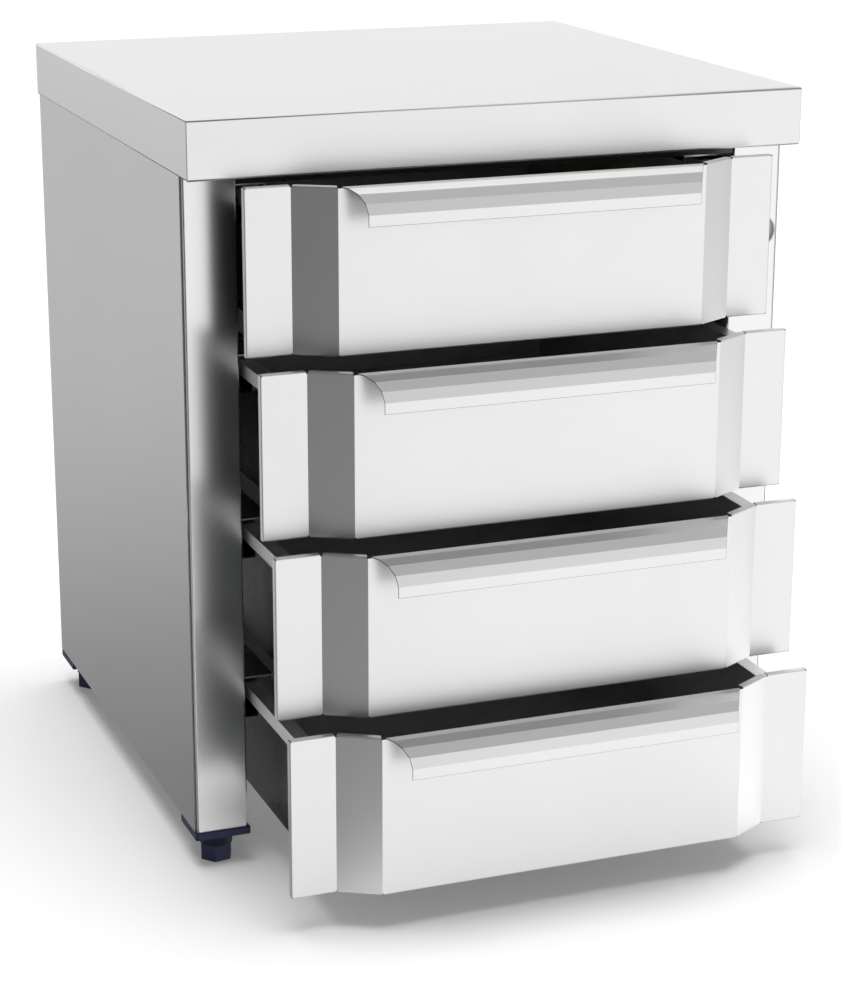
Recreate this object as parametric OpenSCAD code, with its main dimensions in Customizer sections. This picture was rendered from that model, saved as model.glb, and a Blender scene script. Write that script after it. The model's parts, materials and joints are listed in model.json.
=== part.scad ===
// Stainless steel drawer unit for a commercial kitchen: a bench-height cabinet on four
// square legs with four wide drawers, each front bent from one sheet with its own pull.
// Millimetres. X runs to the right, the fronts face -Y and Z is up.
// The origin is on the floor, in the middle of the whole outline with the drawers
// pulled out as they are stored here.

/* [Worktop] */
// Width of the worktop
top_w = 730; // [660:5:900]
// Depth of the worktop
top_d = 700; // [690:5:800]
// Height of the worktop's edge
top_h = 66; // [50:1:80]
// Sheet thickness of the worktop
top_sheet = 1.5; // [1:0.1:2]
// Width of the return folded in under the worktop's edge
top_return = 18; // [12:1:24]
// Outside radius of the worktop's bends
top_bend = 3; // [2.2:0.1:5]
// Thickness of the sound-deadening board under the top sheet
board_t = 18; // [10:1:28]

/* [Cabinet] */
// Width and depth of a square leg
leg_w = 60; // [50:1:70]
// Wall thickness of a leg
leg_wall = 1.5; // [1:0.1:2]
// Outside corner radius of a leg
leg_bend = 2; // [1.5:0.1:4]
// Distance from the worktop's side edge to a leg
leg_inset = 5; // [3:0.5:20]
// Distance from the worktop's front edge to the front legs
leg_setback = 38; // [25:1:60]
// Distance from the rear legs to the worktop's rear edge
rear_setback = 4; // [4:0.5:10]
// Sheet thickness of the side and back panels
panel_sheet = 1.2; // [0.8:0.1:1.5]
// Slot between a side panel and the legs
panel_slot = 1.2; // [0.6:0.1:1.4]
// Distance from the front legs' faces back to a side panel's edge
panel_setback = 4; // [1:0.5:10]
// Width of the stiffening flanges on the panels
panel_flange = 15; // [8:1:25]
// Height of the ties between the leg tops
tie_h = 12; // [8:1:16]
// Depth of the ties between the leg tops
tie_d = 30; // [20:1:34]
// Height of the rear bottom tie
low_tie_h = 40; // [20:1:60]
// Depth of the rear bottom tie
low_tie_d = 15; // [8:1:20]
// Sheet thickness of the ties
tie_sheet = 1.5; // [1:0.1:2.5]

/* [Round recess plug] */
// Diameter of the plug in the right front leg
plug_d = 37; // [20:1:44]
// Distance from the worktop's underside to the plug's centre
plug_drop = 105.8; // [60:0.1:200]
// Distance from the leg's outer face to the plug's edge
plug_edge = 2; // [2:0.5:8]
// Depth of the plug's dished face
plug_depth = 3; // [1:0.5:6]
// Wall thickness of the plug
plug_wall = 1.2; // [0.8:0.1:2]

/* [Feet] */
// Overhang of a leg cap's plate around its leg
cap_over = 3; // [1:0.5:3.5]
// Thickness of a leg cap's plate
cap_t = 8; // [4:0.5:12]
// Height of a leg cap's plug inside the leg
cap_plug_h = 16; // [8:1:30]
// Diameter of the collar under a leg cap
collar_d = 38; // [24:1:50]
// Height of the collar under a leg cap
collar_h = 17; // [8:1:25]
// Distance across the corners of a hexagonal foot
foot_corners = 39.2; // [24:0.2:50]
// Height of a hexagonal foot
foot_h = 20; // [10:1:30]
// Diameter of a foot's threaded stem
stem_d = 12; // [8:1:16]
// Length of a foot's threaded stem
stem_l = 60; // [40:1:90]

/* [Drawer fronts] */
// Height of a drawer front
front_h = 184.7; // [150:0.1:220]
// Gap between two drawer fronts
front_gap = 6.9; // [4:0.1:12]
// Gap between the worktop's edge and the top drawer front
front_drop = 3.7; // [2:0.1:10]
// Overlap of a drawer front over each leg
front_lap = 13; // [5:0.5:30]
// Sheet thickness of a drawer front
front_sheet = 1.2; // [0.8:0.1:1.5]
// Outside radius of a drawer front's bends
front_bend = 2; // [1.6:0.1:3]
// Width of the flat wing at each side of a front
wing_w = 52; // [42:1:70]
// Width that the slanted face beside each wing takes up
slant_w = 44.3; // [25:0.1:60]
// Distance that the middle of a front stands ahead of its wings
front_step = 25.5; // [15:0.5:32]
// Depth of the returns folded back around a front
front_return = 8.5; // [5:0.5:9.5]
// Width and height of the notches where the folds run out
notch_w = 2.5; // [2:0.5:5]
// Distance from the front legs to the wings of a closed front
front_stand = 10; // [10:0.5:14]

/* [Pulls] */
// Depth of the flat that starts a pull
pull_flat = 9.2; // [5:0.1:14]
// Length of each of the three bent facets of a pull
pull_facet = 12.6; // [8:0.1:15]
// Height of the lip that ends a pull
pull_lip = 12.4; // [6:0.1:16]
// Shortfall of a pull at each end against the middle of the front
pull_end = 3.7; // [3:0.1:20]
// Slant of a pull's ends away from the front
pull_slant = 29.6; // [0:0.1:45]

/* [Drawer boxes] */
// Distance from a front's top edge down to the box's top flanges
side_drop = 19.6; // [18:0.1:24]
// Distance from a front's top edge down to the box floor
floor_drop = 163.6; // [130:0.1:175]
// Inside length of a drawer box behind the wings
box_l = 608; // [480:1:620]
// Sheet thickness of a drawer box
box_sheet = 1.2; // [0.8:0.1:1.5]
// Width of the flange folded outwards along each side of a box
flange_w = 18; // [16:0.1:22]
// Height of the lip folded down from that flange
lip_h = 16; // [8:0.5:20]
// Clearance between that lip and the legs
lip_gap = 9; // [5:0.5:14]
// Clearance over a box back under the guide rails' lips
back_gap = 1.5; // [1:0.5:10]

/* [Telescopic slides] */
// Width of a slide between the box side and its carrier
slide_w = 10; // [9:0.1:12]
// Height of the fixed member of a slide
slide_h = 27; // [24:0.5:34]
// Sheet thickness of the slide members
slide_sheet = 1.2; // [0.8:0.1:1.3]
// Length of the moving members of a slide
slide_l = 600; // [450:10:620]
// Running clearance between the slide members
slide_gap = 0.35; // [0.3:0.05:0.5]
// Clearance between a slide and the flange over it
hood_gap = 0.7; // [0.5:0.1:3]
// Distance that a drawer can be pulled out
travel = 540; // [250:10:560]
// Sheet thickness of the carriers that hold the slides to the legs
carrier_sheet = 1.5; // [1:0.1:2]
// Height of a carrier's flange on the legs
carrier_flange = 20; // [10:1:26]

/* [Guide rails] */
// Clearance between a guide rail and the box flange under it
guide_gap = 3.1; // [1:0.1:4]
// Sheet thickness of a guide rail
guide_sheet = 2; // [1:0.1:2.5]
// Reach of a guide rail from the leg towards the middle
guide_reach = 45; // [38:0.5:60]
// Height of the lip along a guide rail's inner edge
guide_lip = 7; // [4:0.5:10]
// Height of the flange that fastens a guide rail to the legs
guide_flange = 12; // [6:0.5:14]
// Distance from the front legs' faces back to the guide rails
guide_setback = 37; // [34:1:50]

/* [How far each drawer is pulled out here] */
// Top drawer
open_1 = 61; // [0:1:240]
// Second drawer
open_2 = 109; // [0:1:240]
// Third drawer
open_3 = 150; // [0:1:240]
// Bottom drawer
open_4 = 193; // [0:1:240]

/* [Hidden] */

drawer_count = 4;
opened = [open_1, open_2, open_3, open_4];
round_fn = 48;
bend_steps = 4;
overcut = 1;
fit_gap = 0.3;
left = -1;
right = 1;

// Angles below level of a pull's flat and its three facets
pull_angles = [5, 22, 45, 72];
pull_lengths = [pull_flat, pull_facet, pull_facet, pull_facet];

// Where the legs stand, from the middle and from the worktop's front edge
leg_out = top_w / 2 - leg_inset;
leg_in = leg_out - leg_w;
leg_mid = leg_out - leg_w / 2;
rear_face = top_d - rear_setback;
panel_out = leg_out + panel_slot + panel_sheet;
panel_in = leg_out + panel_slot;

// Levels above the floor
pitch = front_h + front_gap;
leg_h = front_drop + drawer_count * front_h + (drawer_count - 1) * front_gap;
leg_bottom = foot_h + collar_h + cap_t;
leg_top = leg_bottom + leg_h;
height = leg_top + top_h;

// Plan of a drawer front, from its middle and its wings' face
front_half = leg_in + front_lap;
fold_out = front_half - wing_w;
fold_in = fold_out - slant_w;

// Points of a front's outer face in plan, from one wing's edge to the other
face_line = [
    [-front_half, 0],
    [-fold_out, 0],
    [-fold_in, -front_step],
    [fold_in, -front_step],
    [fold_out, 0],
    [front_half, 0]
];

// Box sides, slides and carriers, from the middle
lip_half = leg_in - lip_gap;
box_half = lip_half - flange_w;
slide_in = box_half + box_sheet;
slide_out = slide_in + slide_w;

// Nested slide members: heights, and the room their webs and lips leave each other
nest = slide_sheet + slide_gap;
mouth = slide_sheet + 2 * slide_gap;
middle_h = slide_h - 2 * nest;
runner_h = middle_h - 2 * nest;
slide_axis_drop = side_drop + box_sheet + hood_gap + slide_h / 2;

// Small distances that keep ties, slides and guides inside the cabinet
start_gap = 2;
rear_gap = 6;
runner_gap = 1.5;
tie_gap = 3;
runner_start = front_return + runner_gap;
fixed_l = rear_face - leg_setback - start_gap - rear_gap;
guide_drop = side_drop - guide_gap - guide_sheet;

// How far the furthest pull stands ahead of the worktop, which centres the outline
pull_reach = pull_point(len(pull_angles))[0];
ahead = front_stand + max(opened) + front_step + pull_reach - leg_setback;
top_front = -(top_d - ahead) / 2;
legs_front = top_front + leg_setback;

// Y of the face of drawer i's wings, Z of its top edge, counted from 1 at the top
function wings_y(i) = legs_front - front_stand - opened[i - 1];
function front_top(i) = leg_top - front_drop - (i - 1) * pitch;

// Running sum of the first n facets of a pull: ahead of the front, and down
function pull_point(n) =
    n == 0
        ? [0, 0]
        : pull_point(n - 1) + pull_lengths[n - 1] * [cos(pull_angles[n - 1]), -sin(pull_angles[n - 1])];

// Unit direction from point i of a line to the next, and the normal to its left
function heading(p, i) = (p[i + 1] - p[i]) / norm(p[i + 1] - p[i]);
function left_of(d) = [-d[1], d[0]];
function turned(v, a) = [v[0] * cos(a) - v[1] * sin(a), v[0] * sin(a) + v[1] * cos(a)];

// Point i of a line moved t to its left, mitred where two stretches meet
function mitred(p, i, t) =
    let (
        a = left_of(heading(p, max(i - 1, 0))),
        b = left_of(heading(p, min(i, len(p) - 2)))
    )
    p[i] + t * (a + b) / (1 + a * b);

// Outline of a sheet of thickness t with one face along a line and the rest to its left
function folded(p, t) = concat(p, [for (i = [len(p) - 1 : -1 : 0]) mitred(p, i, t)]);

// Points of a bend of radius r at corner i of a line
function bend_at(p, i, r) =
    let (
        a = heading(p, i - 1),
        b = heading(p, i),
        turn = atan2(a[0] * b[1] - a[1] * b[0], a * b),
        start = p[i] - r * tan(abs(turn) / 2) * a,
        side = sign(turn) * left_of(a)
    )
    [for (k = [0 : bend_steps]) start + r * (side - turned(side, turn * k / bend_steps))];

// A line with each inner corner bent to radius r
function bent(p, r) =
    concat([p[0]], [for (i = [1 : len(p) - 2]) each bend_at(p, i, r)], [p[len(p) - 1]]);

// Closed outline of a rectangle with round corners, from one corner to the other
function rounded(low, high, r) =
    let (
        mid = [(low[0] + high[0]) / 2, low[1]],
        ring = [mid, [high[0], low[1]], high, [low[0], high[1]], low, mid],
        line = bent(ring, r)
    )
    [for (i = [0 : len(line) - 2]) line[i]];

// Extrudes a section drawn in X and Z from y_low to y_high
module along_y(y_low, y_high) {
    translate([0, y_high, 0])
        rotate([90, 0, 0])
            linear_extrude(y_high - y_low)
                children();
}

// Extrudes a section drawn in Y and Z from x_low to x_high
module along_x(x_low, x_high) {
    translate([x_low, 0, 0])
        rotate([90, 0, 90])
            linear_extrude(x_high - x_low)
                children();
}

// Draws a right-hand piece on the given side, or on both
module on_side(side) {
    mirror([side < 0 ? 1 : 0, 0, 0])
        children();
}

module on_both_sides() {
    on_side(left) children();
    on_side(right) children();
}

// Moves to the worktop's front edge at floor level, or to drawer i's wings and top edge
module from_worktop() {
    translate([0, top_front, 0])
        children();
}

module at_drawer(i) {
    translate([0, wings_y(i), front_top(i)])
        children();
}

// A box with the bends of the worktop along all its edges, t inside the outer faces
module worktop_block(t) {
    half = top_w / 2 - t;
    radius = top_bend - t;
    intersection() {
        along_x(-half, half)
            polygon(rounded([t, leg_top + t], [top_d - t, height - t], radius));
        along_y(t, top_d - t)
            polygon(rounded([-half, leg_top + t], [half, height - t], radius));
    }
}

module worktop() {
    color("gainsboro")
        from_worktop()
            difference() {
                worktop_block(0);
                worktop_block(top_sheet);
                translate([-top_w / 2 + top_return, top_return, leg_top - overcut])
                    cube([top_w - 2 * top_return, top_d - 2 * top_return, top_h / 2]);
            }
}

module top_board() {
    inset = top_sheet + fit_gap + top_bend;
    color("burlywood")
        from_worktop()
            translate([-top_w / 2 + inset, inset, height - top_sheet - board_t])
                cube([top_w - 2 * inset, top_d - 2 * inset, board_t]);
}

// One side sheet with a stiffening flange between the legs at its top and bottom
module side_panel(side) {
    flange_start = leg_setback + leg_w + fit_gap;
    flange_end = rear_face - leg_w - fit_gap;
    flange_x = panel_out - panel_flange;
    color("silver")
        from_worktop()
            on_side(side) {
                translate([panel_in, leg_setback + panel_setback, leg_bottom])
                    cube([panel_sheet, top_d - leg_setback - panel_setback, leg_h]);
                for (z = [leg_bottom, leg_top - panel_sheet])
                    translate([flange_x, flange_start, z])
                        cube([panel_flange, flange_end - flange_start, panel_sheet]);
            }
}

// The back sheet lies on the rear legs, with its flanges between them
module back_panel() {
    half = panel_in - fit_gap;
    flange_half = leg_in - fit_gap;
    color("silver")
        from_worktop() {
            translate([-half, rear_face, leg_bottom])
                cube([2 * half, panel_sheet, leg_h]);
            translate([-flange_half, rear_face - panel_flange, leg_bottom])
                cube([2 * flange_half, panel_flange, panel_sheet]);
        }
}

// Square tube; its section is moved back to the rear row
module leg_tube(side, front_edge) {
    from_worktop()
        on_side(side)
            translate([0, front_edge, leg_bottom])
                linear_extrude(leg_h)
                    difference() {
                        polygon(rounded([leg_in, 0], [leg_out, leg_w], leg_bend));
                        polygon(rounded(
                            [leg_in + leg_wall, leg_wall],
                            [leg_out - leg_wall, leg_w - leg_wall],
                            max(leg_bend - leg_wall, fit_gap)
                        ));
                    }
}

// Middle of the plug, and a round bar of the given size on its axis
module on_plug_axis(diameter, y_low, y_high) {
    from_worktop()
        translate([leg_out - plug_edge - plug_d / 2, y_high, leg_top - plug_drop])
            rotate([90, 0, 0])
                cylinder(d = diameter, h = y_high - y_low, $fn = round_fn);
}

module leg_front_left() {
    color("lightgray")
        leg_tube(left, leg_setback);
}

module leg_front_right() {
    color("lightgray")
        difference() {
            leg_tube(right, leg_setback);
            on_plug_axis(plug_d, leg_setback - overcut, leg_setback + leg_wall + overcut);
        }
}

module leg_rear(side) {
    color("lightgray")
        leg_tube(side, rear_face - leg_w);
}

// Dished disc that closes the round hole in the right front leg; its flange stops at the leg's side
module leg_plug() {
    back = leg_setback + plug_depth + plug_wall;
    outer = plug_d - 2 * fit_gap;
    inside = leg_out - leg_wall - fit_gap;
    color("darkgray")
        difference() {
            union() {
                on_plug_axis(outer, leg_setback, back);
                intersection() {
                    on_plug_axis(plug_d + 2 * plug_wall, leg_setback + leg_wall, back);
                    from_worktop()
                        translate([leg_in, leg_setback, leg_bottom])
                            cube([inside - leg_in, leg_w, leg_h]);
                }
            }
            on_plug_axis(outer - 2 * plug_wall, leg_setback - overcut, leg_setback + plug_depth);
        }
}

// Channel across the cabinet at the leg tops, open downwards
module top_tie(y_low) {
    section = [
        [y_low, leg_top - tie_h],
        [y_low, leg_top],
        [y_low + tie_d, leg_top],
        [y_low + tie_d, leg_top - tie_h]
    ];
    color("gray")
        from_worktop()
            along_x(-leg_in, leg_in)
                polygon(folded(section, -tie_sheet));
}

// Channel across the back between the feet of the rear legs, open to the rear
module bottom_tie_rear() {
    low = leg_bottom + panel_sheet;
    section = [
        [rear_face, low + low_tie_h],
        [rear_face - low_tie_d, low + low_tie_h],
        [rear_face - low_tie_d, low],
        [rear_face, low]
    ];
    color("gray")
        from_worktop()
            along_x(-leg_in, leg_in)
                polygon(folded(section, tie_sheet));
}

// Draws a piece that hangs under the leg whose front edge is given
module under_leg(side, front_edge) {
    from_worktop()
        on_side(side)
            translate([leg_mid, front_edge + leg_w / 2, 0])
                children();
}

// Moulded cap: a plug in the leg, a plate under it and a round collar
module leg_cap(side, front_edge) {
    plug_w = leg_w - 2 * leg_wall - 2 * fit_gap;
    plate_half = leg_w / 2 + cap_over;
    color("midnightblue")
        under_leg(side, front_edge)
            difference() {
                union() {
                    translate([0, 0, foot_h])
                        cylinder(d = collar_d, h = collar_h, $fn = round_fn);
                    translate([0, 0, foot_h + collar_h])
                        linear_extrude(cap_t)
                            polygon(rounded([-plate_half, -plate_half], [plate_half, plate_half], cap_over));
                    translate([-plug_w / 2, -plug_w / 2, leg_bottom])
                        cube([plug_w, plug_w, cap_plug_h]);
                }
                translate([0, 0, foot_h - overcut])
                    cylinder(
                        d = stem_d + 2 * fit_gap,
                        h = collar_h + cap_t + cap_plug_h + 2 * overcut,
                        $fn = round_fn
                    );
            }
}

// Hexagonal foot on a threaded stem, screwed right up against the collar
module foot(side, front_edge) {
    foot_turn = 10;
    color("midnightblue")
        under_leg(side, front_edge) {
            mirror([side < 0 ? 1 : 0, 0, 0])
                rotate([0, 0, foot_turn])
                    cylinder(d = foot_corners, h = foot_h, $fn = 6);
            translate([0, 0, foot_h / 2])
                cylinder(d = stem_d, h = stem_l, $fn = round_fn);
        }
}

// Extrudes a section for each side of the cabinet, hung from drawer i's top edge
module rails(i, y_low, y_high) {
    on_both_sides()
        translate([0, 0, front_top(i)])
            along_y(y_low, y_high)
                children();
}

// Rails over the box sides of drawer i, which keep an open drawer from tipping
module guide_rails(i) {
    section = [
        [leg_in, guide_flange - guide_drop],
        [leg_in, -guide_drop - guide_sheet],
        [leg_in - guide_reach + guide_sheet, -guide_drop - guide_sheet],
        [leg_in - guide_reach + guide_sheet, -guide_drop - guide_lip]
    ];
    y_high = top_front + rear_face - tie_d - tie_gap;
    color("dimgray")
        rails(i, legs_front + guide_setback, y_high)
            polygon(folded(section, -guide_sheet));
}

// Channels that reach under the box lips and hold the fixed slide members of drawer i
module slide_carriers(i) {
    shelf = -slide_axis_drop - slide_h / 2 - carrier_sheet;
    section = [
        [leg_in, shelf + carrier_flange],
        [leg_in, shelf],
        [slide_out, shelf],
        [slide_out, slide_h / 2 - slide_axis_drop]
    ];
    y_low = legs_front + start_gap;
    color("slategray")
        rails(i, y_low, y_low + fixed_l)
            polygon(folded(section, -carrier_sheet));
}

// Channel section lying on its side, with its web at x_back and its lips reaching depth
module channel(x_back, depth, tall, t) {
    reach = x_back + depth;
    line = [
        [reach, tall / 2],
        [x_back, tall / 2],
        [x_back, -tall / 2],
        [reach, -tall / 2]
    ];
    translate([0, -slide_axis_drop])
        polygon(folded(line, depth > 0 ? t : -t));
}

// Outer slide members of drawer i, on their carriers
module slide_fixed(i) {
    y_low = legs_front + start_gap;
    color("slategray")
        rails(i, y_low, y_low + fixed_l)
            channel(slide_out, mouth - slide_w, slide_h, slide_sheet);
}

// Middle slide members of drawer i, which come out half as far as the drawer
module slide_middle(i) {
    y_low = wings_y(i) + runner_start + opened[i - 1] / 2;
    color("lightslategray")
        rails(i, y_low, y_low + slide_l)
            channel(slide_out - nest, nest + mouth - slide_w, middle_h, slide_sheet);
}

// Inner slide member on one side of drawer i
module drawer_runner(i, side) {
    color("lightsteelblue")
        at_drawer(i)
            on_side(side)
                along_y(runner_start, runner_start + slide_l)
                    channel(slide_in, slide_w - 2 * nest, runner_h, slide_sheet);
}

// Box floor and sides in one sheet; the sides end in flanges with a lip folded down,
// and the floor runs on into the bay behind the middle of the front
module drawer_tray(i) {
    half_section = [
        [lip_half, -side_drop - lip_h],
        [lip_half, -side_drop],
        [box_half, -side_drop],
        [box_half, -floor_drop]
    ];
    other_half = [for (p = half_section) [-p[0], p[1]]];
    section = concat(other_half, [for (n = [len(half_section) - 1 : -1 : 0]) half_section[n]]);
    bay = [for (n = [1 : len(face_line) - 2]) mitred(face_line, n, front_sheet + fit_gap)];
    color("dimgray")
        at_drawer(i) {
            along_y(front_sheet, box_l + box_sheet)
                polygon(folded(section, -box_sheet));
            translate([0, 0, -floor_drop - box_sheet])
                linear_extrude(box_sheet)
                    polygon(bay);
        }
}

// Rear wall of a drawer box, low enough to pass under the guide rails' lips
module drawer_back(i) {
    tall = floor_drop - guide_drop - guide_lip - back_gap;
    color("dimgray")
        at_drawer(i)
            translate([-box_half, box_l, -floor_drop])
                cube([2 * box_half, box_sheet, tall]);
}

// Flat returns behind a front's face
module returns() {
    linear_extrude(front_sheet)
        polygon(folded(face_line, front_return));
}

// Small notches where the folds of a front run out at its top and bottom edges
module fold_notches() {
    deep = front_return + 2 * front_sheet;
    for (n = [1 : len(face_line) - 2], z = [-front_h, 0])
        translate([face_line[n][0], face_line[n][1] - front_sheet + deep / 2, z])
            cube([notch_w, deep, 2 * notch_w], center = true);
}

// Section of a pull ahead of the front's face, with its ends cut at a slant
module pull() {
    half = fold_in - pull_end;
    count = len(pull_angles);
    facets = [for (n = [0 : count]) pull_point(n)];
    line = concat(facets, [facets[count] - [0, pull_lip]]);
    section = [for (p = line) [-p[0], p[1]]];
    far = pull_reach + overcut;
    narrow = half - far * tan(pull_slant);
    low = pull_point(count)[1] - pull_lip - overcut;
    translate([0, -front_step, 0])
        intersection() {
            along_x(-half, half)
                polygon(folded(section, front_sheet));
            translate([0, 0, low])
                linear_extrude(2 * overcut - low)
                    polygon([[-half, 0], [half, 0], [narrow, -far], [-narrow, -far]]);
        }
}

// A front bent from one sheet: wings, slanted faces, middle, returns and pull
module drawer_front(i) {
    ends = concat([[-front_half, front_return]], face_line, [[front_half, front_return]]);
    color("whitesmoke")
        at_drawer(i)
            difference() {
                union() {
                    translate([0, 0, -front_h]) {
                        linear_extrude(front_h)
                            polygon(folded(bent(ends, front_bend), front_sheet));
                        returns();
                    }
                    translate([0, 0, -front_sheet])
                        difference() {
                            returns();
                            translate([-fold_in, -front_step + front_sheet, -overcut])
                                cube([2 * fold_in, front_step, front_sheet + 2 * overcut]);
                        }
                    pull();
                }
                fold_notches();
            }
}

worktop();
top_board();
side_panel(left);  // side_panel_left
side_panel(right);  // side_panel_right
back_panel();
leg_front_left();
leg_front_right();
leg_rear(left);  // leg_rear_left
leg_rear(right);  // leg_rear_right
top_tie(leg_setback + start_gap);  // top_tie_front
top_tie(rear_face - tie_d);  // top_tie_rear
bottom_tie_rear();
leg_plug();
leg_cap(left, leg_setback);  // leg_cap_front_left
leg_cap(right, leg_setback);  // leg_cap_front_right
leg_cap(left, rear_face - leg_w);  // leg_cap_rear_left
leg_cap(right, rear_face - leg_w);  // leg_cap_rear_right
foot(left, leg_setback);  // foot_front_left
foot(right, leg_setback);  // foot_front_right
foot(left, rear_face - leg_w);  // foot_rear_left
foot(right, rear_face - leg_w);  // foot_rear_right
for (i = [1 : drawer_count]) {
    guide_rails(i);
    slide_carriers(i);
    slide_fixed(i);
    slide_middle(i);
    drawer_front(i);
    drawer_tray(i);
    drawer_back(i);
    drawer_runner(i, left);
    drawer_runner(i, right);
}
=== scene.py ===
import json
from math import cos, pi, radians, sin, tan
from types import SimpleNamespace

import bmesh
import bpy
from mathutils import Matrix, Vector

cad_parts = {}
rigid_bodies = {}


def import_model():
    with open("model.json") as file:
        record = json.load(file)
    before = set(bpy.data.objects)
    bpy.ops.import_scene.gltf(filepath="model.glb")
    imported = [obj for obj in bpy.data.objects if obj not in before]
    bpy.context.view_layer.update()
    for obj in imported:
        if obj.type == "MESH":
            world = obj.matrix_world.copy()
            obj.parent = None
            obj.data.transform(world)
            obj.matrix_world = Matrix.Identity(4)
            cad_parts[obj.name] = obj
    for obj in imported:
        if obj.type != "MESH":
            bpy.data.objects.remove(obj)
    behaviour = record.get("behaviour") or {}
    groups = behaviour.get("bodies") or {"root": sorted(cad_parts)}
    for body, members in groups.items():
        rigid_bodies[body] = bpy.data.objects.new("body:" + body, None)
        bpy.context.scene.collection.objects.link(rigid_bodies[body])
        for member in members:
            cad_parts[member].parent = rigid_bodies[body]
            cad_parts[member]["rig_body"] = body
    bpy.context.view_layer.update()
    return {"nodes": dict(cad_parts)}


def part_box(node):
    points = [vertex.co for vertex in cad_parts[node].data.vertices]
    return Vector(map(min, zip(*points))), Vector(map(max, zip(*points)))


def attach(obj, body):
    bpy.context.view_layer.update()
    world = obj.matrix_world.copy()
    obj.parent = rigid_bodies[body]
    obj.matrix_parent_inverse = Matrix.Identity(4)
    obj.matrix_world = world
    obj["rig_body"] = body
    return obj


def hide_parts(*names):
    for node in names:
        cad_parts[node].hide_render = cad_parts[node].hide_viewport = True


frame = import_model()
drawerNumbers = [1, 2, 3, 4]
white = (1, 1, 1, 1)
tiny = 1e-6     # keeps a division off zero


# Colours are written as sRGB hex values
def colour(code):
    parts = [int(code[n:n + 2], 16) / 255 for n in (1, 3, 5)]
    return tuple(p / 12.92 if p <= 0.04045 else ((p + 0.055) / 1.055) ** 2.4 for p in parts) + (1,)


# Adds a shader node with its settings, and links its inputs to other nodes' outputs
def addNode(tree, kind, settings=None, values=None, links=None):
    node = tree.nodes.new(kind)
    for name, value in (settings or {}).items():
        setattr(node, name, value)
    for name, value in (values or {}).items():
        node.inputs[name].default_value = value
    for name, source in (links or {}).items():
        tree.links.new(source, node.inputs[name])
    return node


def maths(tree, operation, values=None, links=None):
    return addNode(tree, "ShaderNodeMath", {"operation": operation}, values, links).outputs["Value"]


# Carries a value from one range to another
def remap(tree, source, fromRange, toRange, kind="LINEAR"):
    node = addNode(tree, "ShaderNodeMapRange", {"interpolation_type": kind},
                   {"From Min": fromRange[0], "From Max": fromRange[1],
                    "To Min": toRange[0], "To Max": toRange[1]}, {"Value": source})
    return node.outputs["Result"]


# Noise whose grain has a real size in millimetres
def noise(tree, where, sizeMm, detail, roughness=0.5):
    node = addNode(tree, "ShaderNodeTexNoise",
                   values={"Scale": 1000 / sizeMm, "Detail": detail, "Roughness": roughness},
                   links={"Vector": where})
    return node.outputs["Fac"]


def bump(tree, strength, depthMm, links):
    node = addNode(tree, "ShaderNodeBump", values={"Strength": strength, "Distance": depthMm / 1000},
                   links=links)
    return node.outputs["Normal"]


def emptyTree(owner):
    owner.use_nodes = True
    owner.node_tree.nodes.clear()
    return owner.node_tree


def newMaterial(name, shaderValues):
    material = bpy.data.materials.new(name)
    tree = emptyTree(material)
    shader = addNode(tree, "ShaderNodeBsdfPrincipled", values=shaderValues)
    addNode(tree, "ShaderNodeOutputMaterial", links={"Surface": shader.outputs["BSDF"]})
    return material, tree, shader


# Satin stainless steel: cold rolled sheet ground along one direction with a fine belt.
# The eye sees a soft reflection drawn out across the grinding, a faint grain along it,
# slow cloudy changes of gloss, and very shallow waves in the sheet.
satinSettings = {
    "tint": "#ECEDEC",
    "metal": 1.0,
    "rough": (0.31, 0.35),
    "drawnOut": 0.45,
    "grainMm": 0.7,         # real scratches are 0.05 mm apart, drawn coarser so that they show
    "grainStretch": 90,
    "grainTilt": 0.05,      # keeps the grain's line off the normal of a square face
    "grainShare": 0.45,
    "cloudMm": 160,
    "glossRange": (0.4, 1.0),
    "waveMm": 420,
    "waveStrength": 0.12,
    "waveDepthMm": 1.0,
    "scratchStrength": 0.012,
    "scratchDepthMm": 0.2,
}


def satinSteel(name, grainAxis, **changes):
    s = satinSettings | changes
    material, tree, shader = newMaterial(name, {
        "Base Color": colour(s["tint"]),
        "Metallic": s["metal"],
        "Anisotropic": s["drawnOut"],
    })
    where = addNode(tree, "ShaderNodeTexCoord").outputs["Object"]
    surface = addNode(tree, "ShaderNodeNewGeometry")
    axis = "XYZ".index(grainAxis)
    grainLine = [0.0, 0.0, 0.0]
    grainLine[axis] = 1.0
    grainLine[(axis + 1) % 3] = s["grainTilt"]
    acrossGrain = addNode(tree, "ShaderNodeVectorMath", {"operation": "CROSS_PRODUCT"}, {1: grainLine},
                          {0: surface.outputs["Normal"]})
    tree.links.new(acrossGrain.outputs["Vector"], shader.inputs["Tangent"])
    stretch = [1.0, 1.0, 1.0]
    stretch[axis] = 1 / s["grainStretch"]
    along = addNode(tree, "ShaderNodeMapping", values={"Scale": stretch}, links={"Vector": where})
    grain = noise(tree, along.outputs["Vector"], s["grainMm"], detail=3.0, roughness=0.6)
    cloud = noise(tree, where, s["cloudMm"], detail=4.0, roughness=0.55)
    wave = noise(tree, where, s["waveMm"], detail=1.0, roughness=0.4)
    mixed = maths(tree, "MULTIPLY_ADD", {1: s["grainShare"]}, {0: grain, 2: cloud})
    tree.links.new(remap(tree, mixed, s["glossRange"], s["rough"]), shader.inputs["Roughness"])
    wavy = bump(tree, s["waveStrength"], s["waveDepthMm"], {"Height": wave})
    scratched = bump(tree, s["scratchStrength"], s["scratchDepthMm"], {"Height": grain, "Normal": wavy})
    tree.links.new(scratched, shader.inputs["Normal"])
    return material


steelAcross = satinSteel("satinStainlessAcross", "X")
steelUp = satinSteel("satinStainlessUp", "Z")
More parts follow.
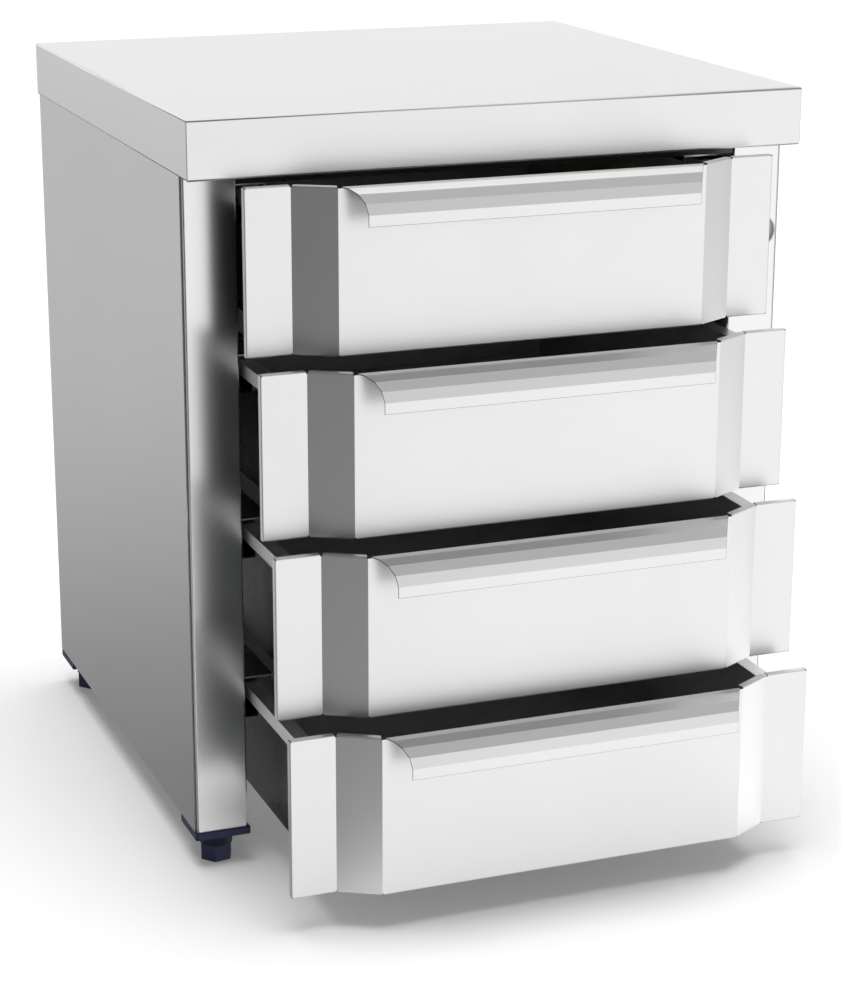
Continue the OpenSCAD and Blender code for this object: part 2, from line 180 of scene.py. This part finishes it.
# Tube: drawn square and ground lightly along its length, so its reflections are crisper
steelTube = satinSteel("satinStainlessTube", "Z", rough=(0.22, 0.24), drawnOut=0.0)
# Inside of the boxes and covered sides: ground coarsely and left so, dull and even. It is only
# partly metallic, which keeps some light in the depth of the boxes.
steelDeep = satinSteel("satinStainlessInside", "Y", tint="#DCDEDD", rough=(0.45, 0.52), drawnOut=0.0,
                       metal=0.6)
# Rolled side of the front sheets, which keeps the mirror of the rolls and isn't ground
rolledSteel = satinSteel("brightRolledStainless", "X", tint="#C9CBCB", rough=(0.14, 0.2), drawnOut=0.0)
# Mill finish: the sheet's unground side, as it was rolled and pickled, smooth but darker. Its tint is
# darkened far past that as painted shade, for the parts deep in the cabinet that it covers and for the
# cut edges of the fronts.
millSteel = satinSteel("millFinishStainlessPaintedShade", "X", tint="#444646", rough=(0.22, 0.3))
# Slide steel: cold drawn strip with a thin zinc coat, greyer than the sheets and slightly dull
slideSteel = satinSteel("drawnSlideSteel", "Y", tint="#9FA2A3", rough=(0.34, 0.44))


# Moulded plastics. The navy polypropylene comes from a spark eroded tool, so the eye sees a
# dull blue-black skin with a fine even grain. The grey polyethylene is waxy and glossier.
plasticSettings = {
    "ior": 1.49,
    "driftGrains": 25,      # size of the slow drift of shade, in grains
    "darkShare": 0.86,
    "glossRange": (0.3, 0.7),
    "skinStrength": 0.25,
    "skinDepthMm": 0.2,
}


def mouldedPlastic(name, tint, rough, grainMm):
    s = plasticSettings
    material, tree, shader = newMaterial(name, {"IOR": s["ior"]})
    where = addNode(tree, "ShaderNodeTexCoord").outputs["Object"]
    grain = noise(tree, where, grainMm, detail=4.0, roughness=0.6)
    drift = noise(tree, where, grainMm * s["driftGrains"], detail=2.0)
    dark = tuple(c * s["darkShare"] for c in colour(tint)[:3]) + (1,)
    shade = addNode(tree, "ShaderNodeMix", {"data_type": "RGBA"}, {6: dark, 7: colour(tint)},
                    {"Factor": drift})
    tree.links.new(shade.outputs[2], shader.inputs["Base Color"])
    tree.links.new(remap(tree, grain, s["glossRange"], rough), shader.inputs["Roughness"])
    skin = bump(tree, s["skinStrength"], s["skinDepthMm"], {"Height": grain})
    tree.links.new(skin, shader.inputs["Normal"])
    return material


navyPlastic = mouldedPlastic("mouldedNavyPolypropylene", "#23264F", rough=(0.42, 0.6), grainMm=0.8)
greyPlastic = mouldedPlastic("mouldedGreyPolyethylene", "#F1F3F3", rough=(0.2, 0.32), grainMm=0.6)


# Raw chipboard of the sound-deadening board: pressed wood chips, dull and speckled
boardSettings = {
    "rough": 0.85,
    "chipMm": 6.0,
    "chipTint": "#C4A77E",
    "seamTint": "#8C6D45",
    "chipStrength": 0.4,
    "chipDepthMm": 0.4,
}


def chipboard(name):
    s = boardSettings
    material, tree, shader = newMaterial(name, {"Roughness": s["rough"]})
    where = addNode(tree, "ShaderNodeTexCoord").outputs["Object"]
    chips = addNode(tree, "ShaderNodeTexVoronoi", values={"Scale": 1000 / s["chipMm"]},
                    links={"Vector": where}).outputs["Distance"]
    ramp = addNode(tree, "ShaderNodeValToRGB", links={"Fac": chips})
    ramp.color_ramp.elements[0].color = colour(s["chipTint"])
    ramp.color_ramp.elements[1].color = colour(s["seamTint"])
    tree.links.new(ramp.outputs["Color"], shader.inputs["Base Color"])
    pressed = bump(tree, s["chipStrength"], s["chipDepthMm"], {"Height": chips})
    tree.links.new(pressed, shader.inputs["Normal"])
    return material


rawBoard = chipboard("rawChipboard")
print("materials made")


def addObject(name, data):
    made = bpy.data.objects.new(name, data)
    bpy.context.scene.collection.objects.link(made)
    return made


def finishedMesh(name, bm):
    mesh = bpy.data.meshes.new(name)
    bm.to_mesh(mesh)
    bm.free()
    return mesh


# Puts a finished mesh in the scene on its body
def place(name, bm, materials, body, replaced):
    mesh = finishedMesh(name, bm)
    for material in materials:
        mesh.materials.append(material)
    piece = addObject(name, mesh)
    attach(piece, body)
    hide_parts(*replaced)
    return piece


# Width of a long face, from its area and outline
def faceWidth(face):
    return 2 * face.calc_area() / max(face.calc_perimeter(), tiny)


foldSettings = {
    "weldMm": 0.002,
    "flatRadians": 0.003,
    "sharpDegrees": 30,
    "shortMm": 2.2,         # shorter edges stay as they are
    "sheetMm": 2.1,         # a face narrower than this is a cut edge
    "cutMm": 0.2,
    "steps": 3,
}

# How far the folds and edges of each kind of piece are rounded
foldMm = {
    "panel": 1.1,
    "tube": 0.5,
    "box": 0.7,
    "slide": 0.5,
    "cap": 0.7,
    "foot": 0.9,
    "plug": 0.4,
    "board": 0.6,
}


# A CAD sheet with its folds rounded and its cut edges eased. The finish of each face, or its painted
# shade, is picked from the list of materials by a function of its centre and normal.
def easedSheet(nodeName, materials, kind, pickFinish=None):
    s = foldSettings
    fold = foldMm[kind] / 1000
    cut = s["cutMm"] / 1000
    bm = bmesh.new()
    bm.from_mesh(frame["nodes"][nodeName].data)
    bmesh.ops.remove_doubles(bm, verts=bm.verts, dist=s["weldMm"] / 1000)
    bmesh.ops.dissolve_limit(bm, angle_limit=s["flatRadians"], verts=bm.verts, edges=bm.edges)
    weights = bm.edges.layers.float.new("bevel_weight_edge")
    for edge in bm.edges:
        if len(edge.link_faces) != 2 or edge.calc_length() < s["shortMm"] / 1000:
            continue
        bend = edge.calc_face_angle_signed(0)
        if abs(bend) < radians(s["sharpDegrees"]):
            continue
        thin = min(faceWidth(f) for f in edge.link_faces) < s["sheetMm"] / 1000
        if thin:
            edge[weights] = cut / fold
        elif bend > 0:
            edge[weights] = 1.0
    for face in bm.faces:
        face.smooth = True
        if pickFinish:
            face.material_index = pickFinish(face.calc_center_median(), face.normal)
    body = frame["nodes"][nodeName]["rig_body"]
    piece = place(nodeName + "_sheet", bm, materials, body, [nodeName])
    bevel = piece.modifiers.new("easedEdges", "BEVEL")
    bevel.limit_method = "WEIGHT"
    bevel.width = fold
    bevel.segments = s["steps"]
    normals = piece.modifiers.new("flatFaces", "WEIGHTED_NORMAL")
    normals.keep_sharp = True


# Where the finish of a piece, or its painted shade, changes, in metres from the middle of the unit, and
# how squarely a face has to look along an axis to count
finishSettings = {
    "facing": 0.7,
    "legOutside": 0.355,
    "trayWall": 0.286,
    "trayFlange": 0.27,
}


def facesOutward(centre, normal):
    return normal.x * centre.x > 0 and abs(normal.x) > finishSettings["facing"]


# Legs: ground on the sides that stay open, left dull where a side sheet covers them
def legFinish(centre, normal):
    return 1 if facesOutward(centre, normal) and abs(centre.x) > finishSettings["legOutside"] else 0


# Trays: dull inside, below and on the lip, the dark mill steel on the walls' outside as painted shade for
# the recess between the legs and the fronts, and the flanges ground with the belt of the outer sheets
def trayFinish(centre, normal):
    s = finishSettings
    if abs(centre.x) > s["trayFlange"] and abs(normal.z) > s["facing"]:
        return 2
    return 1 if facesOutward(centre, normal) and abs(centre.x) < s["trayWall"] else 0


# Guide rails: the dark mill steel, as painted shade inside the cabinet; the faces that look forward take
# the lighter ground steel where light reaches them at the opening, so lit and shaded sides are painted
# apart
def railFinish(centre, normal):
    return 1 if normal.y < -finishSettings["facing"] else 0


for nodeName in ("worktop", "back_panel"):
    easedSheet(nodeName, [steelAcross], "panel")
for side in ("left", "right"):
    easedSheet("side_panel_%s" % side, [steelUp], "panel")
    for end in ("front", "rear"):
        easedSheet("leg_%s_%s" % (end, side), [steelTube, steelDeep], "tube", legFinish)
# The ties take the dark mill steel, its darkness painted shade inside the cabinet
for nodeName in ("top_tie_front", "top_tie_rear", "bottom_tie_rear"):
    easedSheet(nodeName, [millSteel], "panel")

for number in drawerNumbers:
    # Rails, carriers and the trays' walls take the dark mill steel as painted shade inside the cabinet
    easedSheet("guide_rails_%d" % number, [millSteel, steelAcross], "box", railFinish)
    easedSheet("slide_carriers_%d" % number, [millSteel], "box")
    easedSheet("drawer_%d_tray" % number, [steelDeep, millSteel, steelAcross], "box",
               trayFinish)
    easedSheet("drawer_%d_back" % number, [steelDeep], "box")
    for stem in ("slide_fixed_%d", "slide_middle_%d", "drawer_%d_runner_left", "drawer_%d_runner_right"):
        easedSheet(stem % number, [slideSteel], "slide")
print("cabinet and boxes made")

for end in ("front", "rear"):
    for side in ("left", "right"):
        easedSheet("leg_cap_%s_%s" % (end, side), [navyPlastic], "cap")
        easedSheet("foot_%s_%s" % (end, side), [navyPlastic], "foot")
easedSheet("leg_plug", [greyPlastic], "plug")
easedSheet("top_board", [rawBoard], "board")
print("feet, plug and board made")


# Drawer fronts: one sheet, folded back all round and curled forward along the middle's top.
# Sizes in millimetres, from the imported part, but with tighter bends and smaller notches.
frontSettings = {
    "sheet": 1.2,
    "outerBend": 1.4,
    "wing": 52.0,
    "slant": 44.3,
    "step": 25.5,
    "returnDepth": 8.5,
    "notch": 1.5,
    "seam": 0.3,        # open seam at the outer corners, where the returns meet
    "capGap": 0.3,      # keeps the lowest front's edge off the leg caps when it shuts
    "flapGap": 0.1,     # from the end of a bend to the end of a flap
    "pullFlat": 9.2,
    "pullFacet": 12.6,
    "pullLip": 12.4,
    "pullEnd": 3.7,
    "pullEndDegrees": 29.6,
    "pullDegrees": (5, 22, 45, 72),
    "pullBend": 1.2,
    "bendSteps": 5,
    "rim": 0.4,
    "rimDegrees": 50,
    "rimSteps": 2,
}


def leftOf(d):
    return Vector((-d.y, d.x))


# Line with every inner corner turned into an arc, radius measured on the left of the line
# for a left turn and on the right for a right turn
def bentLine(points, radiusLeft, radiusRight, steps):
    line = [points[0].copy()]
    for n in range(1, len(points) - 1):
        before = (points[n] - points[n - 1]).normalized()
        after = (points[n + 1] - points[n]).normalized()
        turn = -before.angle_signed(after, 0)
        radius = radiusLeft if turn > 0 else radiusRight
        start = points[n] - before * radius * tan(abs(turn) / 2)
        side = leftOf(before) * (1 if turn > 0 else -1)
        centre = start + side * radius
        for k in range(steps + 1):
            spin = Matrix.Rotation(turn * k / steps, 2)
            line.append(centre - spin @ side * radius)
    line.append(points[-1].copy())
    return line


# Moves every corner of a line to its left by t
def offsetLine(points, t):
    moved = []
    last = len(points) - 1
    for n, p in enumerate(points):
        a = leftOf((points[max(n, 1)] - points[max(n, 1) - 1]).normalized())
        b = leftOf((points[min(n + 1, last)] - points[min(n + 1, last) - 1]).normalized())
        moved.append(p + (a + b) * (t / (1 + a.dot(b))))
    return moved


# A place along a stretch, rounded so that equal places share one column
def mark(length):
    return round(length, 4)


# Places along one stretch of the plan where its columns stand: bend ends and flap ends
def stretchMarks(length, bendStart, bendEnd, flaps):
    marks = {mark(bendStart), mark(length - bendEnd)}
    for start, end in flaps:
        marks |= {mark(start), mark(length - end)}
    return sorted(marks)


# A front seen from above: its corners, and the stretches, bends and flap ends between them
def frontPlan(half):
    s = frontSettings
    foldOut = half - s["wing"]
    foldIn = foldOut - s["slant"]
    back, step = s["returnDepth"], -s["step"]
    corners = [Vector(p) for p in ((-half, back), (-half, 0), (-foldOut, 0), (-foldIn, step),
                                   (foldIn, step), (foldOut, 0), (half, 0), (half, back))]
    count = len(corners) - 1
    headings = [(corners[k + 1] - corners[k]).normalized() for k in range(count)]
    turns = [0] + [headings[k].cross(headings[k + 1]) for k in range(count - 1)] + [0]
    angles = [0] + [headings[k].angle(headings[k + 1]) for k in range(count - 1)] + [0]
    radii = [s["outerBend"] if t > 0 else s["outerBend"] - s["sheet"] for t in turns]
    tangents = [radii[k] * tan(angles[k] / 2) for k in range(len(corners))]
    mitred = range(2, count - 1)       # at the outer corners the flaps run square up to the returns
    return SimpleNamespace(
        corners=corners,
        count=count,
        middle=count // 2,
        foldIn=foldIn,
        headings=headings,
        normals=[leftOf(d) for d in headings],
        lengths=[(corners[k + 1] - corners[k]).length for k in range(count)],
        turns=turns,
        angles=angles,
        radii=radii,
        tangents=tangents,
        relief=[max(tangent + s["flapGap"], s["notch"] / 2) for tangent in tangents],
        closing=[tan(angles[k] / 2) if turns[k] > 0 and k in mitred else 0 for k in range(len(corners))],
    )


# Upright sheet along the plan, with its columns and the first and last column of each flap
def frontColumns(bm, plan, tall):
    s = frontSettings
    last = plan.count - 1
    columns = []
    flapSpan = {}

    def column(p, trim):
        bottom = bm.verts.new((p.x, p.y, trim - tall))
        top = bm.verts.new((p.x, p.y, -trim))
        columns.append(SimpleNamespace(point=p, bottom=bottom, top=top))

    for k in range(plan.count):
        heading = plan.headings[k]
        bottomTrim = (plan.relief[k], plan.relief[k + 1])
        topTrim = (s["pullEnd"], s["pullEnd"]) if k == plan.middle else bottomTrim
        flaps = [bottomTrim, topTrim] if 0 < k < last else []
        marks = stretchMarks(plan.lengths[k], plan.tangents[k], plan.tangents[k + 1], flaps)
        first = len(columns)
        for spot in marks:
            column(plan.corners[k] + heading * spot, s["notch"] if 0 < k < last else s["seam"])
        for edge, trim in zip(("bottom", "top"), flaps):
            flapSpan[(edge, k)] = (first + marks.index(mark(trim[0])),
                                   first + marks.index(mark(plan.lengths[k] - trim[1])))
        if k < last:       # points inside the bend
            side = 1 if plan.turns[k + 1] > 0 else -1
            start = plan.corners[k + 1] - heading * plan.tangents[k + 1]
            centre = start + plan.normals[k] * side * plan.radii[k + 1]
            spoke = -plan.normals[k] * side * plan.radii[k + 1]
            for n in range(1, s["bendSteps"]):
                turn = plan.angles[k + 1] * side * n / s["bendSteps"]
                column(centre + Vector((spoke.x * cos(turn) - spoke.y * sin(turn),
                                        spoke.x * sin(turn) + spoke.y * cos(turn))),
                       s["notch"] if 0 < k < last - 1 else s["seam"])
    for a, b in zip(columns, columns[1:]):
        bm.faces.new((a.bottom, b.bottom, b.top, a.top))
    return columns, flapSpan


# Faces between two rows of vertices
def joinRows(bm, below, row, turned=False):
    faces = []
    for n in range(len(row) - 1):
        quad = (below[n], below[n + 1], row[n + 1], row[n])
        faces.append(bm.faces.new(quad[::-1] if turned else quad))
    return faces


# Flaps folded back along the top and bottom edges, except on top of the middle
def foldFlaps(bm, plan, columns, flapSpan, tall):
    s = frontSettings
    r = s["outerBend"]
    quarter = [pi / 2 * n / s["bendSteps"] for n in range(s["bendSteps"] + 1)]
    bend = [(r * (1 - cos(a)), r * sin(a) - r) for a in quarter]
    for (edge, k), (start, end) in flapSpan.items():
        if edge == "top" and k == plan.middle:
            continue
        flap = columns[start:end + 1]
        width = max((flap[-1].point - flap[0].point).length, tiny)
        below = [each.top if edge == "top" else each.bottom for each in flap]
        for inward, z in bend + [(s["returnDepth"], 0)]:
            row = []
            for each in flap:
                share = (each.point - flap[0].point).length / width
                slide = inward * ((1 - share) * plan.closing[k] - share * plan.closing[k + 1])
                p = each.point + plan.normals[k] * inward + plan.headings[k] * slide
                row.append(bm.verts.new((p.x, p.y, z if edge == "top" else -tall - z)))
            joinRows(bm, below, row, turned=edge == "bottom")
            below = row


# Section of the pull along the underside of its sheet, from the middle's face forward and down
def pullSection():
    s = frontSettings
    facets = [s["pullFlat"]] + [s["pullFacet"]] * 3
    line = [Vector((0, 0))]
    for length, slope in zip(facets, s["pullDegrees"]):
        line.append(line[-1] + length * Vector((cos(radians(slope)), -sin(radians(slope)))))
    line.append(line[-1] - Vector((0, s["pullLip"])))
    under = offsetLine(line, -s["sheet"])
    under[0] = Vector((0, under[0].y + under[0].x * tan(radians(s["pullDegrees"][0]))))
    foot = Vector((0, -s["notch"]))
    return bentLine([foot] + under, s["pullBend"], s["outerBend"] - s["sheet"], s["bendSteps"])


# Pull, which narrows towards its lip
def curlPull(bm, plan, columns, span):
    s = frontSettings
    halfPull = plan.foldIn - s["pullEnd"]
    narrowing = tan(radians(s["pullEndDegrees"]))
    upper = columns[span[0]:span[1] + 1]
    below = [each.top for each in upper]
    for p in pullSection()[1:]:
        halfWide = halfPull - max(p.x, 0) * narrowing
        row = [bm.verts.new((each.point.x * halfWide / halfPull, -s["step"] - p.x, p.y))
               for each in upper]
        for facet in joinRows(bm, below, row):
            facet.material_index = 1
        below = row


def frontSheet(number):
    s = frontSettings
    nodeName = "drawer_%d_front" % number
    low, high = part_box(nodeName)
    tall = (high.z - low.z) * 1000 - s["capGap"]
    plan = frontPlan(high.x * 1000)
    bm = bmesh.new()
    columns, flapSpan = frontColumns(bm, plan, tall)
    foldFlaps(bm, plan, columns, flapSpan, tall)
    curlPull(bm, plan, columns, flapSpan[("top", plan.middle)])
    rear = high.y - s["returnDepth"] / 1000
    toWorld = Matrix.Translation((0, rear, high.z)) @ Matrix.Scale(0.001, 4)
    bmesh.ops.transform(bm, matrix=toWorld, verts=bm.verts)
    for face in bm.faces:
        face.smooth = True
    # The far side of the sheet takes the next finish in this list, so the front is ground before and
    # rolled behind, and the pull rolled below and ground above. Cut edges take the dark mill steel, a
    # painted shade line along them.
    finishes = [steelAcross, rolledSteel, steelAcross, millSteel]
    piece = place(nodeName + "_sheet", bm, finishes, "drawer_%d" % number, [nodeName])
    thick = piece.modifiers.new("sheet", "SOLIDIFY")
    thick.thickness = s["sheet"] / 1000
    thick.offset = -1
    thick.use_even_offset = True
    thick.material_offset = 1
    rim = piece.modifiers.new("cutEdges", "BEVEL")
    rim.limit_method = "ANGLE"
    rim.angle_limit = radians(s["rimDegrees"])
    rim.width = s["rim"] / 1000
    rim.use_clamp_overlap = False
    rim.material = 3
    rim.segments = s["rimSteps"]
    even = piece.modifiers.new("flatFaces", "WEIGHTED_NORMAL")
    even.keep_sharp = True


for number in drawerNumbers:
    frontSheet(number)
print("drawer fronts made")


# Soft change between two places along one axis
def softStep(tree, source, places, first=0.0, second=1.0):
    return remap(tree, source, places, (first, second), "SMOOTHSTEP")


# Mix of two values, each a number or another node's output
def blend(tree, factor, first, second):
    node = addNode(tree, "ShaderNodeMix", {"data_type": "FLOAT"})
    for socket, value in zip((0, 2, 3), (factor, first, second)):
        if isinstance(value, float):
            node.inputs[socket].default_value = value
        else:
            tree.links.new(value, node.inputs[socket])
    return node.outputs[0]


def times(tree, first, second):
    return maths(tree, "MULTIPLY", links={0: first, 1: second})


# The parts along x, y and z of a place or a direction
def axesOf(tree, kind):
    where = addNode(tree, "ShaderNodeTexCoord")
    axes = addNode(tree, "ShaderNodeSeparateXYZ", links={"Vector": where.outputs[kind]})
    return [axes.outputs[name] for name in "XYZ"]


# White floor that keeps the shadow. It is mirrored in the steel only close in front of the
# unit, where its patch fades in and out between the places given, in metres.
floorSettings = {
    "width": 60,
    "tint": "#EDEDED",
    "lift": 0.12,
    "patchFront": (-0.85, -0.55),
    "patchBack": (-0.25, -0.1),
    "patchSides": (0.25, 0.42),
}


def makeFloor():
    s = floorSettings
    bm = bmesh.new()
    bmesh.ops.create_grid(bm, x_segments=1, y_segments=1, size=s["width"] / 2)
    floor = addObject("floor", finishedMesh("floor", bm))
    material = bpy.data.materials.new("studioFloor")
    floor.data.materials.append(material)
    tree = emptyTree(material)
    path = addNode(tree, "ShaderNodeLightPath")
    paint = addNode(tree, "ShaderNodeBsdfDiffuse", values={"Color": colour(s["tint"])})
    strength = maths(tree, "MULTIPLY", {1: s["lift"]}, {0: path.outputs["Is Camera Ray"]})
    lift = addNode(tree, "ShaderNodeEmission", values={"Color": white}, links={"Strength": strength})
    both = addNode(tree, "ShaderNodeAddShader",
                   links={0: paint.outputs["BSDF"], 1: lift.outputs["Emission"]})
    clear = addNode(tree, "ShaderNodeBsdfTransparent")
    x, y = axesOf(tree, "Object")[:2]
    aside = maths(tree, "ABSOLUTE", links={0: x})
    inDepth = times(tree, softStep(tree, y, s["patchFront"]), softStep(tree, y, s["patchBack"], 1.0, 0.0))
    near = times(tree, inDepth, softStep(tree, aside, s["patchSides"], 1.0, 0.0))
    away = maths(tree, "SUBTRACT", {0: 1.0}, {1: near})
    unseen = times(tree, away, path.outputs["Is Glossy Ray"])
    pick = addNode(tree, "ShaderNodeMixShader",
                   links={"Fac": unseen, 1: both.outputs["Shader"], 2: clear.outputs["BSDF"]})
    addNode(tree, "ShaderNodeOutputMaterial", links={"Surface": pick.outputs["Shader"]})


# Soft light, full in front, strongest at the right and just above the horizon behind, and
# dimmer at the left, overhead, low behind and straight below. A pair says where a change
# begins and ends along x (Edge), y (Depth) or z (Rise) of the direction.
worldSettings = {
    "floorLight": 0.3,
    "frontLight": 0.91,
    "leftLow": 0.33,
    "leftHigh": 0.14,
    "leftRise": (-0.42, -0.15),
    "leftEdge": (-0.65, 0.08),
    "rightGain": 1.28,
    "rightEdge": (0.05, 0.54),
    "farRightLow": 1.23,
    "farRightHigh": 1.08,
    "farRightRise": (-0.38, -0.18),
    "farRightEdge": (0.55, 0.9),
    "farRightDepth": (-0.45, -0.2),
    "overheadLight": 0.48,
    "overheadRise": (0.12, 0.45),
    "besideLow": 1.05,
    "besideHigh": 0.5,
    "besideRise": (-0.42, -0.15),
    "besideEdge": (0.5, 0.75),
    "behindLow": 0.17,
    "behindHigh": 0.59,
    "behindRise": (-0.4, -0.235),
    "behindRight": 0.15,
    "behindRightEdge": (0.45, 0.75),
    "behindDepth": (0.1, 0.5),
    "overTopLow": 2.0,
    "overTopMid": 0.78,
    "overTopMidRise": (0.1, 0.15),
    "overTopGain": 1.6,
    "overTopGainRise": (0.3, 0.7),
    "overTopRise": (-0.04, 0.1),
    "belowLight": 0.3,
    "belowRise": (-0.85, -0.6),
}


def makeWorld():
    s = worldSettings
    world = bpy.data.worlds.new("studio")
    bpy.context.scene.world = world
    tree = emptyTree(world)
    path = addNode(tree, "ShaderNodeLightPath")
    x, y, z = axesOf(tree, "Generated")
    sideways = maths(tree, "ABSOLUTE", links={0: x})
    left = softStep(tree, z, s["leftRise"], s["leftLow"], s["leftHigh"])
    fromLeft = blend(tree, softStep(tree, x, s["leftEdge"]), left, s["frontLight"])
    toRight = softStep(tree, x, s["rightEdge"], 1.0, s["rightGain"])
    farRight = softStep(tree, z, s["farRightRise"], s["farRightLow"], s["farRightHigh"])
    atRight = times(tree, softStep(tree, x, s["farRightEdge"]), softStep(tree, y, s["farRightDepth"]))
    toRight = times(tree, toRight, blend(tree, atRight, 1.0, farRight))
    overhead = softStep(tree, z, s["overheadRise"], 1.0, s["overheadLight"])
    beside = softStep(tree, z, s["besideRise"], s["besideLow"], s["besideHigh"])
    sides = blend(tree, softStep(tree, sideways, s["besideEdge"]), 1.0, beside)
    front = times(tree, times(tree, fromLeft, toRight), times(tree, overhead, sides))
    lowBehind = times(tree, softStep(tree, z, s["behindRise"], s["behindLow"], s["behindHigh"]),
                      softStep(tree, x, s["behindRightEdge"], 1.0, s["behindRight"]))
    overTop = times(tree, softStep(tree, z, s["overTopMidRise"], s["overTopLow"], s["overTopMid"]),
                    softStep(tree, z, s["overTopGainRise"], 1.0, s["overTopGain"]))
    behind = blend(tree, softStep(tree, z, s["overTopRise"]), lowBehind, overTop)
    around = blend(tree, softStep(tree, y, s["behindDepth"]), front, behind)
    seen = times(tree, around, softStep(tree, z, s["belowRise"], s["belowLight"], 1.0))
    spread = blend(tree, path.outputs["Is Diffuse Ray"], seen, s["floorLight"])
    plain = blend(tree, path.outputs["Is Camera Ray"], spread, 1.0)
    sky = addNode(tree, "ShaderNodeBackground", values={"Color": white}, links={"Strength": plain})
    addNode(tree, "ShaderNodeOutputWorld", links={"Surface": sky.outputs["Background"]})


# Wide lamp from almost straight above, for the shadow on the floor. The steel doesn't mirror it.
lampSettings = {
    "power": 2.65,
    "spreadDegrees": 47,
    "tiltDegrees": (1, 1.5, 0),
}


def makeLamp():
    s = lampSettings
    light = bpy.data.lights.new("softbox", "SUN")
    light.energy = s["power"]
    light.angle = radians(s["spreadDegrees"])
    lamp = addObject("softbox", light)
    lamp.rotation_euler = [radians(angle) for angle in s["tiltDegrees"]]
    lamp.visible_glossy = False


# Camera of the photograph, in metres, radians and, for its lens and sensor, millimetres
cameraSettings = {
    "place": (-1.1069, -2.8726, 1.2894),
    "yaw": -0.3648,
    "pitch": -0.2956,
    "roll": 0.002,
    "lens": 93.84,
    "sensor": 36,
    "farEnd": 100,
}


def makeCamera():
    s = cameraSettings
    data = bpy.data.cameras.new("camera")
    data.lens = s["lens"]
    data.sensor_width = s["sensor"]
    data.clip_end = s["farEnd"]
    camera = addObject("camera", data)
    turn = Matrix.Rotation(s["yaw"], 4, "Z") @ Matrix.Rotation(pi / 2 + s["pitch"], 4, "X")
    turn = turn @ Matrix.Rotation(s["roll"], 4, "Z")
    camera.matrix_world = Matrix.Translation(s["place"]) @ turn
    bpy.context.scene.camera = camera


makeFloor()
makeWorld()
makeLamp()
makeCamera()
bpy.context.scene.view_settings.view_transform = "Standard"
print("studio made")
